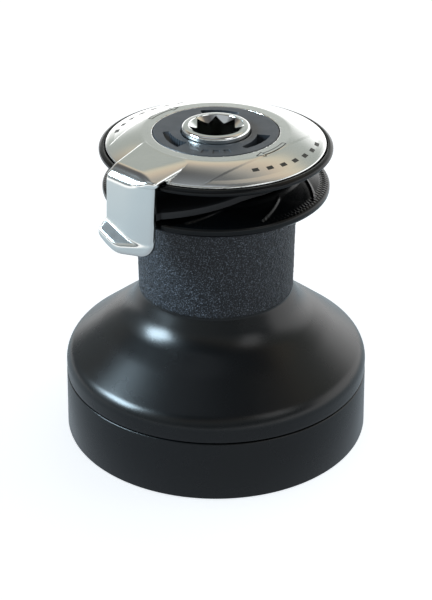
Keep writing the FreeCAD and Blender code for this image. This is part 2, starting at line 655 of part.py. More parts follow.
RING_SPACE_PHASE = LOW_IDLER_AZIMUTH
PINION_PHASE = meshed_in_ring(RING_SPACE_PHASE, LOW_IDLER_AZIMUTH, int(size("pinion_teeth")))
LOW_IDLER_PHASE = LOW_IDLER_AZIMUTH + 180
LOW_DRIVE_PHASE = meshed_outside(LOW_IDLER_PHASE, int(size("low_idler_teeth")), LOW_IDLER_AZIMUTH + 180,
                                 int(size("low_drive_teeth")))
IDLER_TEETH = int(size("high_idler_teeth"))
HIGH_B_PHASE = meshed_in_ring(RING_SPACE_PHASE, PLACES["high_b"][1], IDLER_TEETH)
BETWEEN = polar(*PLACES["high_a"]) - polar(*PLACES["high_b"])
FROM_B_TO_A = math.degrees(math.atan2(BETWEEN.y, BETWEEN.x))
HIGH_A_PHASE = meshed_outside(HIGH_B_PHASE, IDLER_TEETH, FROM_B_TO_A, IDLER_TEETH)
HIGH_DRIVE_PHASE = meshed_outside(HIGH_A_PHASE, IDLER_TEETH, HIGH_IDLER_A_AZIMUTH + 180,
                                  int(size("high_drive_teeth")))


def handle_spindle():
    body = lathe([
        ("0", "foot_depth + 0.2"), ("journal_radius", "foot_depth + 0.2"),
        ("journal_radius", "high_gear_z - 0.5"),
        ("hub_radius", "high_gear_z - 0.5"), ("hub_radius", "high_gear_z + high_gear_width + 0.5"),
        ("shaft_radius", "high_gear_z + high_gear_width + 0.5"), ("shaft_radius", "head_z"),
        ("head_radius", "head_z"), ("head_radius", "spindle_top - 1.8"),
        ("head_radius - 0.8", "spindle_top - 0.4"), ("head_radius - 2", "spindle_top"), ("0", "spindle_top"),
    ])
    squares = []
    for azimuth in (0.0, 45.0):
        squares.append(block("socket_square", "socket_square", "spindle_top - socket_depth", "spindle_top + 1",
                             "0 - socket_square / 2", azimuth))
    keyway = block("3", "3", "low_gear_z + 1", "low_gear_z + 9", "7.5", 180.0)
    width = size("high_gear_width") + 1.02
    pockets = turned_copies(pawl_pocket(width), (0, 180), FreeCAD.Vector(0, 0, size("high_gear_z") - 0.51))
    keep("handle_spindle", cut(body, *squares, keyway, solid_feature(Part.makeCompound(pockets))))
    keep("drive_key", block("3", "3", "low_gear_z + 1", "low_gear_z + 9", "7.5", 180.0))


def toothed(node, teeth, phase, bottom, width, bore, place, inside=None):
    shape = gear_shape(teeth, phase, width, bore)
    if inside is not None:
        shape = shape.cut(inside)
    where = FreeCAD.Placement(polar(*place, bottom), FreeCAD.Rotation())
    keep(node, solid_feature(shape, where))


def gear_train():
    axis = (0, 0)
    low_width = size("low_gear_width")
    high_width = size("high_gear_width")
    keyway = Part.makeBox(3.6, 3, low_width, FreeCAD.Vector(-10.6, -1.5, 0))
    toothed("low_drive_gear", int(size("low_drive_teeth")), LOW_DRIVE_PHASE, size("low_gear_z"), low_width,
            size("journal_radius"), axis, keyway)
    toothed("high_drive_gear", int(size("high_drive_teeth")), HIGH_DRIVE_PHASE, size("high_gear_z"), high_width,
            0, axis, ratchet_hole(high_width))
    toothed("low_idler_gear", int(size("low_idler_teeth")), LOW_IDLER_PHASE, size("low_gear_z"), low_width,
            0, PLACES["low"], ratchet_hole(low_width))
    bore = size("high_pin_radius") + size("fit")
    toothed("high_idler_a", IDLER_TEETH, HIGH_A_PHASE, size("high_gear_z"), high_width, bore, PLACES["high_a"])
    toothed("high_idler_b", IDLER_TEETH, HIGH_B_PHASE, size("high_gear_z"), high_width, bore, PLACES["high_b"])


def low_pinion():
    """The pinion in one with the hub that carries the low-speed pawls."""
    hub_bottom = size("low_gear_z")
    hub_top = hub_bottom + size("low_gear_width") + 0.3
    pinion = gear_shape(int(size("pinion_teeth")), PINION_PHASE, size("pinion_width"), 0)
    pinion.translate(FreeCAD.Vector(0, 0, size("pinion_z") - hub_bottom))
    hub = Part.makeCylinder(size("hub_radius"), hub_top - hub_bottom)
    plate = Part.makeCylinder(15.5, size("pinion_z") - hub_top, FreeCAD.Vector(0, 0, hub_top - hub_bottom))
    pockets = turned_copies(pawl_pocket(hub_top - hub_bottom), (0, 180))
    bore = Part.makeCylinder(size("low_pin_radius") + size("fit"), 40)
    shape = hub.multiFuse([plate, pinion]).cut(Part.makeCompound(pockets)).cut(bore)
    where = FreeCAD.Placement(polar(*PLACES["low"], hub_bottom), FreeCAD.Rotation())
    keep("low_pinion", solid_feature(shape, where))


def pawls():
    centre = polar(*PLACES["low"], size("low_gear_z") + 0.6)
    width = size("low_gear_width") - 0.8
    for name, shape in zip("ab", turned_copies(pawl_shape(width), (0, 180), centre)):
        keep(f"low_pawl_{name}", solid_feature(shape))
    low_leaves = turned_copies(spring_leaf(width), (0, 180), centre)
    keep("low_pawl_springs", solid_feature(Part.makeCompound(low_leaves)))
    centre = FreeCAD.Vector(0, 0, size("high_gear_z"))
    width = size("high_gear_width")
    for name, shape in zip("ab", turned_copies(pawl_shape(width, fold=PAWL_FOLD), (0, 180), centre)):
        keep(f"high_pawl_{name}", solid_feature(shape))
    high_leaves = turned_copies(spring_leaf(width), (0, 180), centre)
    keep("high_pawl_springs", solid_feature(Part.makeCompound(high_leaves)))


def bearing(name, bottom):
    """A ring of rollers and the cage that spaces them."""
    count = int(size("roller_count"))
    circle = "stem_radius + fit + roller_radius"
    azimuths = [index * 360.0 / count for index in range(count)]
    rollers = [cylinder("roller_radius", bottom, f"{bottom} + roller_length", circle, azimuth)
               for azimuth in azimuths]
    keep(f"{name}_rollers", group(*rollers))
    blank = cut(cylinder("stem_radius + 6", f"{bottom} - 0.1", f"{bottom} + roller_length + 0.3"),
                cylinder("stem_radius + 1.2", f"{bottom} - 1", f"{bottom} + roller_length + 1"))
    windows = [cylinder("roller_radius + 0.1", bottom, f"{bottom} + roller_length + 0.05", circle, azimuth)
               for azimuth in azimuths]
    keep(f"{name}_roller_cage", cut(blank, *windows))


base_housing()
centre_stem()
stem_screws()
gear_pins()
rings_and_bushes()
line_stripper()
feeder_arm_cover()
cover_lock_disc()
drum()
drum_gear_ring()
upper_jaw()
lower_jaw()
jaw_springs()
handle_spindle()
gear_train()
low_pinion()
pawls()
bearing("lower", "lower_bearing")
bearing("upper", "upper_bearing")
doc.recompute()

for thing in doc.Objects:
    if {"Invalid", "Error"} & set(thing.State):
        raise RuntimeError(f"{thing.Name} ({thing.Label}) failed: {thing.State}")
os.makedirs("parts", exist_ok=True)
for node, thing in nodes.items():
    shape = thing.Shape
    if shape.isNull() or not shape.isValid() or not shape.Solids:
        raise RuntimeError(f"{node} is not a sound solid")
    shape.exportStep(f"parts/{node}.step")
    box = shape.BoundBox
    print(f"{node:20s} solids {len(shape.Solids):3d} volume {shape.Volume / 1000:8.2f} cm3 "
          f"z {box.ZMin:7.2f} {box.ZMax:7.2f} r {max(box.XMax, box.YMax):6.2f}")
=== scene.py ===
"""Looks of the two-speed self-tailing winch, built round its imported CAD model."""
import json
import math

import bmesh
import bpy
import numpy as np
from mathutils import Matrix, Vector


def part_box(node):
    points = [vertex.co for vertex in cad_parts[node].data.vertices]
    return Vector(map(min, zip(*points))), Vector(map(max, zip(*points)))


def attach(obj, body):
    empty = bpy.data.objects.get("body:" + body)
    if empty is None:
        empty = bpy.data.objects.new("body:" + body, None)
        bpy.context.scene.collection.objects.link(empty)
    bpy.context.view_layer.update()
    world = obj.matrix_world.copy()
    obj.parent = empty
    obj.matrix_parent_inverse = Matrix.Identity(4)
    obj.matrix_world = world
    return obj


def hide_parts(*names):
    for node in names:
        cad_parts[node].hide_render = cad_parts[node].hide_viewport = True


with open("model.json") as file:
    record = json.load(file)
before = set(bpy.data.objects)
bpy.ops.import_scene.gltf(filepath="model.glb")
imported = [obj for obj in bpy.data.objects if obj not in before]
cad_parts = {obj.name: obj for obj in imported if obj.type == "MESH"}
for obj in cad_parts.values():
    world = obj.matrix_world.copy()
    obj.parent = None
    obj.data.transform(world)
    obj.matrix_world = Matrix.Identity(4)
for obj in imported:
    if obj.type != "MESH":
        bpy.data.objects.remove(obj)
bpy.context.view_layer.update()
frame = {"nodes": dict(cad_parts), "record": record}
MM = 0.001


# ---------------------------------------------------------------- sizes, in millimetres, some read from the frame and the rest given

def reach(node):
    """How far a round node reaches from the winch's axis."""
    low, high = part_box(node)
    return max(-low[0], high[0], -low[1], high[1]) / MM


def bottom_of(node):
    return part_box(node)[0][2] / MM


def top_of(node):
    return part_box(node)[1][2] / MM


BASE_R = reach("base_housing")
BASE_TOP_R = BASE_R - 0.85
BASE_WALL = 4.0
FLOOR_TOP = 6.0
BOLT_COUNT = 5
BOLT_CIRCLE_R = 59.0
BOLT_FIRST = 54                   # azimuth of the first bolt, in degrees
BOLT_HOLE_R = 3.3

SKIRT_R = reach("drum")
SKIRT_BORE = 66.0
SEAM_TOP = bottom_of("drum")
BASE_TOP = SEAM_TOP - 0.6
SHOULDER = (SKIRT_R, 40.2, 10.8)  # corners (radius, height, fillet) of the drum's flare, from its skirt
FLARE = (54.5, 55.1, 80.0)        # up to its foot
SWEEP = (42.6, 63.2, 36.0)
FOOT_R = 37.1
FOOT_Z = 74.0
BARREL_R = 37.6
BARREL_LOW = 106.0
SHELF_Z = 119.0
NECK_TOP = top_of("drum")
NECK_R = 32.0
NECK_BORE = 27.0
BARREL_BORE = 31.1
GEAR_RING_BORE = 59.5
GRIP_R = 37.0
GRIP_LOW = 75.0
GRIP_HIGH = 118.6
GRIP_SEAT = 0.25
GRAIN_HEIGHT = 0.07

JAW_BORE = 32.1
JAW_R = reach("lower_jaw")
JAW_LOW = bottom_of("lower_jaw")
JAW_HUB_TOP = top_of("lower_jaw")
JAW_RIM_TOP = JAW_HUB_TOP - 4.8
JAW_UNDERSIDE = 122.3
UPPER_R = reach("upper_jaw")
UPPER_LOW = bottom_of("upper_jaw")
UPPER_RIM = top_of("upper_jaw") - 2.2
GROOVE_R = 38.0

COVER_R = 50.7
COVER_TOP = top_of("feeder_arm_cover")
COVER_EDGE = COVER_TOP - 4.95
COVER_FLAT_R = 34.0
COVER_FLOOR = bottom_of("cover_keys") + 4.3
DISC_R = 28.9
DISC_BOTTOM = 141.0
HEAD_R = reach("handle_spindle")
HEAD_TOP = top_of("handle_spindle")
HEAD_BOTTOM = 125.0
SHAFT_R = 11.0
SOCKET_HALF = 17.46 / 2
SOCKET_DEPTH = 24.0


# ---------------------------------------------------------------- mesh helpers

def finish_piece(obj, body, material, nodes=(), sharp=32):
    """Shade, colour and hand a piece to its CAD body."""
    mesh = obj.data
    if material is not None:
        mesh.materials.clear()
        mesh.materials.append(material)
    for polygon in mesh.polygons:
        polygon.use_smooth = True
    if sharp:
        mesh.set_sharp_from_angle(angle=math.radians(sharp))
    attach(obj, body)
    if nodes:
        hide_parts(*nodes)
    return obj


def new_object(name, vertices, faces):
    mesh = bpy.data.meshes.new(name)
    mesh.from_pydata([tuple(v) for v in vertices], [], [tuple(f) for f in faces])
    mesh.validate()
    mesh.update()
    obj = bpy.data.objects.new(name, mesh)
    bpy.context.collection.objects.link(obj)
    return obj


def outward(obj):
    """Turn every face outwards."""
    made = bmesh.new()
    made.from_mesh(obj.data)
    bmesh.ops.recalc_face_normals(made, faces=made.faces)
    made.to_mesh(obj.data)
    made.free()
    obj.data.update()


def rounded(corners, closed=True, step=0.25):
    """An outline (radius, height) from corners (radius, height, fillet), fillets as fine arcs."""
    points = []
    count = len(corners)
    for index, (r, z, fillet) in enumerate(corners):
        here = Vector((r, z))
        if fillet <= 0 or (not closed and index in (0, count - 1)):
            points.append(here)
            continue
        before = Vector(corners[index - 1][:2]) - here
        after = Vector(corners[(index + 1) % count][:2]) - here
        half = before.angle(after) / 2
        reach_back = min(fillet / math.tan(half), before.length * 0.499, after.length * 0.499)
        radius = reach_back * math.tan(half)
        start = here + before.normalized() * reach_back
        centre = here + (before.normalized() + after.normalized()).normalized() * (radius / math.sin(half))
        sweep = math.pi - 2 * half
        steps = max(3, int(radius * sweep / step))
        turn = 1 if before.x * after.y - before.y * after.x < 0 else -1
        arm = start - centre
        for k in range(steps + 1):
            angle = turn * sweep * k / steps
            cosine, sine = math.cos(angle), math.sin(angle)
            points.append(centre + Vector((arm.x * cosine - arm.y * sine, arm.x * sine + arm.y * cosine)))
    return [(p.x, p.y) for p in points]


def subdivide(points, longest, closed=True):
    """Split an outline's long runs so that relief has vertices to move."""
    made = []
    pairs = zip(points, points[1:] + points[:1]) if closed else zip(points, points[1:])
    for (r0, z0), (r1, z1) in pairs:
        parts = max(1, math.ceil(math.hypot(r1 - r0, z1 - z0) / longest))
        for k in range(parts):
            made.append((r0 + (r1 - r0) * k / parts, z0 + (z1 - z0) * k / parts))
    if not closed:
        made.append(points[-1])
    return made


def turned(name, outline, segments=360, relief=None):
    """Revolve a closed outline; relief(r, z, azimuth) gives changes of radius and height in mm."""
    r = np.array([p[0] for p in outline])
    z = np.array([p[1] for p in outline])
    azimuth = np.arange(segments) * 2 * math.pi / segments
    rr, aa = np.meshgrid(r, azimuth)
    zz = np.meshgrid(z, azimuth)[0]
    if relief is not None:
        dr, dz = relief(rr, zz, aa)
        rr = rr + dr
        zz = zz + dz
    vertices = np.stack([rr * np.cos(aa), rr * np.sin(aa), zz], axis=-1).reshape(-1, 3) * MM
    count = len(r)
    ring = np.arange(segments)[:, None] * count + np.arange(count)[None, :]
    a = ring
    b = np.roll(ring, -1, axis=1)
    c = np.roll(b, -1, axis=0)
    d = np.roll(ring, -1, axis=0)
    faces = np.stack([a, d, c, b], axis=-1).reshape(-1, 4)
    obj = new_object(name, vertices, faces)
    made = bmesh.new()
    made.from_mesh(obj.data)
    bmesh.ops.remove_doubles(made, verts=made.verts, dist=0.002 * MM)
    made.to_mesh(obj.data)
    made.free()
    outward(obj)
    return obj


def solid_from_field(name, field, low, high, cell):
    """The surface where field(x, y, z) is 0 (negative inside), as quads slid onto the exact surface."""
    axes = [np.arange(low[k], high[k] + cell, cell, dtype=np.float32) for k in range(3)]
    x, y, z = np.meshgrid(*axes, indexing="ij", sparse=True)
    values = field(x, y, z)
    inside = values < 0
    shape = np.array(values.shape) - 1
    total = np.zeros(shape, np.float32)
    place = np.zeros((*shape, 3), np.float32)
    corner = [np.s_[:-1], np.s_[1:]]
    for axis in range(3):
        others = [k for k in range(3) if k != axis]
        for i in (0, 1):
            for j in (0, 1):
                first = [None] * 3
                second = [None] * 3
                first[axis], second[axis] = corner
                first[others[0]] = second[others[0]] = corner[i]
                first[others[1]] = second[others[1]] = corner[j]
                v0 = values[tuple(first)]
                v1 = values[tuple(second)]
                crossed = (v0 < 0) != (v1 < 0)
                share = np.where(crossed, v0 / np.where(crossed, v0 - v1, 1), 0)
                total += crossed
                place[..., axis] += share
                place[..., others[0]] += crossed * i
                place[..., others[1]] += crossed * j
    used = total > 0
    index = -np.ones(shape, np.int64)
    index[used] = np.arange(int(used.sum()))
    cells = np.argwhere(used)
    points = (cells + place[used] / total[used][:, None]) * cell + np.array(low)
    faces = []
    for axis in range(3):
        u, v = [k for k in range(3) if k != axis]
        span = [slice(1, -1)] * 3
        span[axis] = slice(0, -1)
        ahead = list(span)
        ahead[axis] = slice(1, None)
        a_in = inside[tuple(span)]
        b_in = inside[tuple(ahead)]
        edges = np.argwhere(a_in != b_in)
        out = a_in[tuple(edges.T)]
        start = edges + np.array([0 if k == axis else 1 for k in range(3)])
        quad = []
        for du, dv in ((-1, -1), (0, -1), (0, 0), (-1, 0)):
            at = start.copy()
            at[:, u] += du
            at[:, v] += dv
            quad.append(index[tuple(at.T)])
        quad = np.stack(quad, axis=-1)
        flip = out if axis != 1 else ~out
        quad[~flip] = quad[~flip][:, ::-1]
        faces.append(quad)
    for _ in range(4):
        points = slide(points, field)
    obj = new_object(name, points * MM, np.concatenate(faces))
    facing = gradient(points, field, NORMAL_STEP)
    facing /= np.linalg.norm(facing, axis=1, keepdims=True) + 1e-9
    obj.data.polygons.foreach_set("use_smooth", [True] * len(obj.data.polygons))
    obj.data.normals_split_custom_set_from_vertices(facing.tolist())
    return obj


SLIDE_STEP = 0.02
NORMAL_STEP = 0.1
LONGEST_SLIDE = 0.3


def gradient(points, field, step):
    """How fast the field grows along each axis at each point."""
    slopes = []
    for axis in range(3):
        aside = np.zeros(3)
        aside[axis] = step
        slopes.append((field(*(points + aside).T) - field(*(points - aside).T)) / (2 * step))
    return np.stack(slopes, axis=-1)


def slide(points, field):
    """One Newton step of each point towards the surface."""
    slope = gradient(points, field, SLIDE_STEP)
    steepness = np.maximum((slope ** 2).sum(axis=1), 0.05)
    move = -(field(*points.T) / steepness)[:, None] * slope
    far = np.linalg.norm(move, axis=1, keepdims=True)
    return points + move * np.minimum(1, LONGEST_SLIDE / np.maximum(far, 1e-9))


def join_max(a, b, blend):
    """Intersection of two fields with a rounded edge."""
    near = np.maximum(blend - np.abs(a - b), 0) / blend
    return np.maximum(a, b) + near * near * blend * 0.25


def join_min(a, b, blend):
    """Union of two fields with a fillet."""
    return -join_max(-a, -b, blend)


def plane(points, inside):
    """A field that grows outwards from the plane through three points, negative at the inside point."""
    p, q, r = (Vector(point) for point in points)
    normal = (q - p).cross(r - p).normalized()
    if normal.dot(Vector(inside) - p) > 0:
        normal = -normal
    offset = normal.dot(p)
    return lambda x, y, z: normal.x * x + normal.y * y + normal.z * z - offset


# ---------------------------------------------------------------- materials

def material(name, colour, roughness, metallic=0.0, **values):
    """A Principled material whose constants sit on the shader's own sockets."""
    made = bpy.data.materials.new(name)
    made.use_nodes = True
    shader = made.node_tree.nodes["Principled BSDF"]
    shader.inputs["Base Color"].default_value = (*colour, 1)
    shader.inputs["Roughness"].default_value = roughness
    shader.inputs["Metallic"].default_value = metallic
    for socket, value in values.items():
        shader.inputs[socket.replace("_", " ")].default_value = value
    return made


def noise(tree, scale, detail=4.0, stretch=(1, 1, 1)):
    """Noise over the piece's own coordinates."""
    place = tree.nodes.new("ShaderNodeTexCoord")
    spread = tree.nodes.new("ShaderNodeMapping")
    spread.inputs["Scale"].default_value = stretch
    texture = tree.nodes.new("ShaderNodeTexNoise")
    texture.inputs["Scale"].default_value = scale
    texture.inputs["Detail"].default_value = detail
    tree.links.new(place.outputs["Object"], spread.inputs["Vector"])
    tree.links.new(spread.outputs["Vector"], texture.inputs["Vector"])
    return texture.outputs["Fac"]


def ramp(tree, source, stops):
    """A colour ramp from (position, colour) stops."""
    node = tree.nodes.new("ShaderNodeValToRGB")
    while len(node.color_ramp.elements) < len(stops):
        node.color_ramp.elements.new(0.5)
    for element, (position, colour) in zip(node.color_ramp.elements, stops):
        element.position = position
        element.color = (*colour, 1)
    tree.links.new(source, node.inputs["Fac"])
    return node.outputs["Color"]


def vary_roughness(made, scale, low, high, stretch=(1, 1, 1)):
    tree = made.node_tree
    grey = ramp(tree, noise(tree, scale, 5.0, stretch), [(0.3, (low,) * 3), (0.7, (high,) * 3)])
    tree.links.new(grey, tree.nodes["Principled BSDF"].inputs["Roughness"])


def bump(made, height, strength, distance):
    tree = made.node_tree
    node = tree.nodes.new("ShaderNodeBump")
    node.inputs["Strength"].default_value = strength
    node.inputs["Distance"].default_value = distance
    tree.links.new(height, node.inputs["Height"])
    tree.links.new(node.outputs["Normal"], tree.nodes["Principled BSDF"].inputs["Normal"])


def black_coat():
    """Satin hard-anodised black with a bluish cast."""
    made = material("black_coat", (0.0018, 0.0024, 0.0030), 0.27, 0.0, Specular_IOR_Level=0.36)
    vary_roughness(made, 40, 0.24, 0.30)
    bump(made, noise(made.node_tree, 1400, 2.0), 0.06, 0.0002)
    return made


def grit():
    """Bead-blasted grip: dark slate with light specks on its crests."""
    made = material("grip_grit", (0.03, 0.035, 0.042), 0.5, 0.0, Specular_IOR_Level=0.35)
    tree = made.node_tree
    fine = noise(tree, 1900, 3.0)
    colour = ramp(tree, fine, [(0.44, (0.003, 0.004, 0.006)), (0.56, (0.012, 0.015, 0.020)),
                               (0.68, (0.11, 0.13, 0.16))])
    tree.links.new(colour, tree.nodes["Principled BSDF"].inputs["Base Color"])
    bump(made, fine, 0.8, 0.0005)
    return made


def black_jaw():
    """Gloss black moulding with faint mould grain."""
    made = material("black_jaw", (0.0012, 0.0016, 0.0020), 0.24, 0.0, Specular_IOR_Level=0.22)
    vary_roughness(made, 90, 0.16, 0.24)
    bump(made, noise(made.node_tree, 700, 2.0), 0.05, 0.0002)
    return made


def stainless():
    """Polished stainless casting with a soft haze."""
    made = material("stainless", (0.76, 0.77, 0.755), 0.15, 1.0)
    vary_roughness(made, 60, 0.13, 0.18)
    bump(made, noise(made.node_tree, 260, 2.0), 0.03, 0.0003)
    return made


def polished():
    """Mirror-polished steel of the handle socket."""
    made = material("polished_steel", (0.78, 0.79, 0.78), 0.08, 1.0)
    vary_roughness(made, 120, 0.06, 0.11)
    return made


def grey_plastic():
    """Fine matt dark grey moulding."""
    made = material("grey_plastic", (0.028, 0.033, 0.040), 0.48)
    vary_roughness(made, 150, 0.38, 0.48)
    bump(made, noise(made.node_tree, 2200, 2.0), 0.15, 0.0002)
    return made


def black_plastic():
    made = material("black_plastic", (0.010, 0.011, 0.013), 0.38, 0.0, Specular_IOR_Level=0.35)
    vary_roughness(made, 120, 0.33, 0.44)
    bump(made, noise(made.node_tree, 1500, 2.0), 0.1, 0.0002)
    return made


def white_plastic():
    made = material("white_plastic", (0.80, 0.79, 0.74), 0.45)
    vary_roughness(made, 150, 0.38, 0.5)
    bump(made, noise(made.node_tree, 1800, 2.0), 0.08, 0.0002)
    return made


def machined(name, colour, roughness):
    """Turned or cut metal with fine tool marks."""
    made = material(name, colour, roughness, 1.0)
    vary_roughness(made, 30, roughness - 0.06, roughness + 0.08, (1, 1, 40))
    bump(made, noise(made.node_tree, 300, 3.0, (1, 1, 12)), 0.08, 0.0002)
    return made


def engraving():
    """Dark fill of the engraved marks."""
    made = material("engraving", (0.05, 0.048, 0.044), 0.4, 0.6)
    vary_roughness(made, 300, 0.35, 0.5)
    return made


MATERIALS = {
    "black_coat": black_coat(), "black_jaw": black_jaw(), "black_plastic": black_plastic(),
    "grey_plastic": grey_plastic(), "white_plastic": white_plastic(), "stainless": stainless(),
    "polished_steel": polished(), "steel": machined("steel", (0.52, 0.52, 0.53), 0.30),
    "cast_alloy": machined("cast_alloy", (0.60, 0.60, 0.61), 0.42),
    "bronze": machined("bronze", (0.60, 0.40, 0.19), 0.32),
}
GRIT = grit()
ENGRAVING = engraving()


def dress_cad_nodes():
    """Every CAD node gets its slot's material; pieces below replace the ones that show."""
    slots = {part["node"]: part["material_slot"] for part in frame["record"]["subparts"]}
    for node, obj in frame["nodes"].items():
        obj.data.materials.clear()
        obj.data.materials.append(MATERIALS[slots[node]])


# ---------------------------------------------------------------- base and drum

def base_ring():
    outline = rounded([
        (0, 0, 0), (BASE_R - 0.1, 0, 0.6), (BASE_TOP_R, BASE_TOP, 0.6),
        (BASE_TOP_R - BASE_WALL, BASE_TOP, 0.4), (BASE_TOP_R - BASE_WALL, FLOOR_TOP, 3), (0, FLOOR_TOP, 0),
    ])
    obj = turned("base_ring", outline)
    bolts = [BOLT_FIRST + 360 / BOLT_COUNT * k for k in range(BOLT_COUNT)]
    drill(obj, bolts, BOLT_CIRCLE_R, BOLT_HOLE_R, -1, FLOOR_TOP + 1)
    return finish_piece(obj, "base", MATERIALS["black_coat"], ["base_housing"])


def drill(obj, azimuths, distance, radius, low, high):
    """Cut round holes through a piece."""
    for azimuth in azimuths:
        angle = math.radians(azimuth)
        centre = Vector((distance * math.cos(angle), distance * math.sin(angle), (low + high) / 2)) * MM
        bpy.ops.mesh.primitive_cylinder_add(vertices=48, radius=radius * MM, depth=(high - low) * MM,
                                            location=centre)
        cutter = bpy.context.object
        cut = obj.modifiers.new("hole", "BOOLEAN")
        cut.operation = "DIFFERENCE"
        cut.solver = "EXACT"
        cut.object = cutter
        bpy.context.view_layer.objects.active = obj
        bpy.ops.object.modifier_apply(modifier=cut.name)
        bpy.data.objects.remove(cutter)


def drum_body():
    """The drum: flared skirt, grip seat, neck and its hollow inside."""
    outline = rounded([
        (SKIRT_BORE, SEAM_TOP, 0.3), (SKIRT_R, SEAM_TOP, 0.4), SHOULDER, FLARE, SWEEP,
        (FOOT_R, FOOT_Z, 0.3), (FOOT_R, GRIP_LOW, 0), (GRIP_R, GRIP_LOW, 0),
        (BARREL_R, BARREL_LOW, 0), (BARREL_R, SHELF_Z, 0.4), (NECK_R, SHELF_Z, 0.2),
        (NECK_R, NECK_TOP, 0.2), (NECK_BORE, NECK_TOP, 0.2), (NECK_BORE, 112, 0), (BARREL_BORE, 112, 0),
        (BARREL_BORE, 57.5, 0.5), (44.3, 57.5, 2), (GEAR_RING_BORE, 45.8, 1), (GEAR_RING_BORE, 42, 0),
        (SKIRT_BORE, 42, 0),
    ], step=0.5)

    def seat(r, z, azimuth):
        inset = (r > GRIP_R - 1) & (z > GRIP_LOW) & (z < GRIP_HIGH)
        return np.where(inset, GRIP_R - GRIP_SEAT - r, 0), np.zeros_like(z)

    obj = turned("drum_body", subdivide(outline, 2.0), 360, seat)
    return finish_piece(obj, "drum", MATERIALS["black_coat"], ["drum"])


def drum_grip():
    """The gritted band, its grains real relief."""
    outline = rounded([
        (GRIP_R - 1.2, GRIP_LOW, 0), (GRIP_R, GRIP_LOW, 0.3), (BARREL_R, GRIP_HIGH, 0.1),
        (GRIP_R - 1.2, GRIP_HIGH, 0),
    ])
    outline = subdivide(outline, 0.45)
    grains = np.random.default_rng(3)
    segments = 560
    rough = grains.normal(0, 1, (segments, len(outline)))
    for axis in (0, 1):
        rough = (np.roll(rough, 1, axis) + 2 * rough + np.roll(rough, -1, axis)) / 4
    rough = rough / rough.std()

    def relief(r, z, azimuth):
        outside = (r > GRIP_R - 0.4) & (z > GRIP_LOW + 0.2) & (z < GRIP_HIGH - 0.2)
        return np.where(outside, GRAIN_HEIGHT * rough, 0), np.zeros_like(z)

    obj = turned("drum_grip", outline, segments, relief)
    return finish_piece(obj, "drum", GRIT, (), sharp=0)


# ---------------------------------------------------------------- jaws and stripper

RIB_COUNT = 9
RIB_SWEEP = 2.2            # degrees of azimuth that a rib turns for each millimetre inwards
RIB_START = -68.7          # azimuth of one rib at its outer end
RIB_INNER = 38.5
RIB_OUTER = 50.5
RIB_DEPTH = 0.9
TOOTH_COUNT = 150
TOOTH_OUTER = 52.0
TOOTH_LENGTH = 4.2
TOOTH_DEPTH = 0.18


def rib_relief(r, azimuth):
    """Depth of a jaw's face below the crests of its swept ribs."""
    pitch = 360.0 / RIB_COUNT
    line = np.degrees(azimuth) - RIB_START - (RIB_OUTER - r) * RIB_SWEEP
    away = (line + pitch / 2) % pitch - pitch / 2
    across = np.radians(away) * r * 0.62
    ends = np.clip((r - RIB_INNER - 0.5) / 2, 0, 1) * np.clip((RIB_OUTER - r) / 1.5, 0, 1)
    crest = np.exp(-(across / 0.75) ** 2) * ends
    fade_in = np.clip((r - RIB_INNER) / 1.5, 0, 1)
    fade_out = np.clip(RIB_OUTER + 0.1 - r, 0, 1)
    return RIB_DEPTH * (1 - crest) * fade_in * fade_out


def serration(r, azimuth):
    """Depth of the fine teeth round the lower jaw's rim."""
    wave = 0.5 + 0.5 * np.cos(azimuth * TOOTH_COUNT)
    ends = np.clip((r - (TOOTH_OUTER - TOOTH_LENGTH)) / 0.5, 0, 1) * np.clip((TOOTH_OUTER - r) / 0.5, 0, 1)
    return TOOTH_DEPTH * wave * ends


def jaw_lower():
    """Sprung lower jaw: ribbed face, toothed rim and a skirt round the barrel's top."""
    outline = rounded([
        (JAW_BORE, JAW_UNDERSIDE, 0), (GROOVE_R, JAW_UNDERSIDE, 0.2), (GROOVE_R, JAW_LOW, 0.3),
        (GROOVE_R + 1.6, JAW_LOW, 0.5), (GROOVE_R + 2.6, JAW_UNDERSIDE, 1.5), (JAW_R - 1.9, 124, 3),
        (JAW_R - 0.1, 125.6, 1.5), (JAW_R - 0.1, 128.2, 1.4), (JAW_R - 2.1, JAW_RIM_TOP, 1.0),
        (GROOVE_R, JAW_HUB_TOP, 1.0), (JAW_BORE, JAW_HUB_TOP, 0.2),
    ])

    def relief(r, z, azimuth):
        face = (z > 128.6) & (r > RIB_INNER)
        return np.zeros_like(r), np.where(face, -rib_relief(r, azimuth) - serration(r, azimuth), 0)

    obj = turned("jaw_lower", subdivide(outline, 0.4), 1200, relief)
    return finish_piece(obj, "lower_jaw", MATERIALS["black_jaw"], ["lower_jaw"], sharp=40)


def jaw_upper():
    """Upper jaw: ribbed underside and a raised rim that frames the cover."""
    outline = rounded([
        (26, UPPER_LOW, 0.2), (GROOVE_R, UPPER_LOW, 1.0), (52.3, UPPER_RIM - 1.1, 1.2),
        (UPPER_R - 0.05, UPPER_RIM - 0.2, 1.0), (UPPER_R - 0.05, UPPER_RIM + 1.5, 1.2),
        (UPPER_R - 1.5, UPPER_RIM + 2.2, 0.6), (51.35, UPPER_RIM + 2.1, 0.3), (51.2, UPPER_RIM + 1, 0.2),
        (34, UPPER_RIM, 1), (32.5, 144.3, 1), (26, 144.3, 0.3),
    ])

    def relief(r, z, azimuth):
        face = (z < UPPER_RIM - 0.9) & (r > RIB_INNER)
        return np.zeros_like(r), np.where(face, rib_relief(r, -azimuth), 0)

    obj = turned("jaw_upper", subdivide(outline, 0.5), 900, relief)
    return finish_piece(obj, "drum", MATERIALS["black_jaw"], ["upper_jaw"], sharp=40)


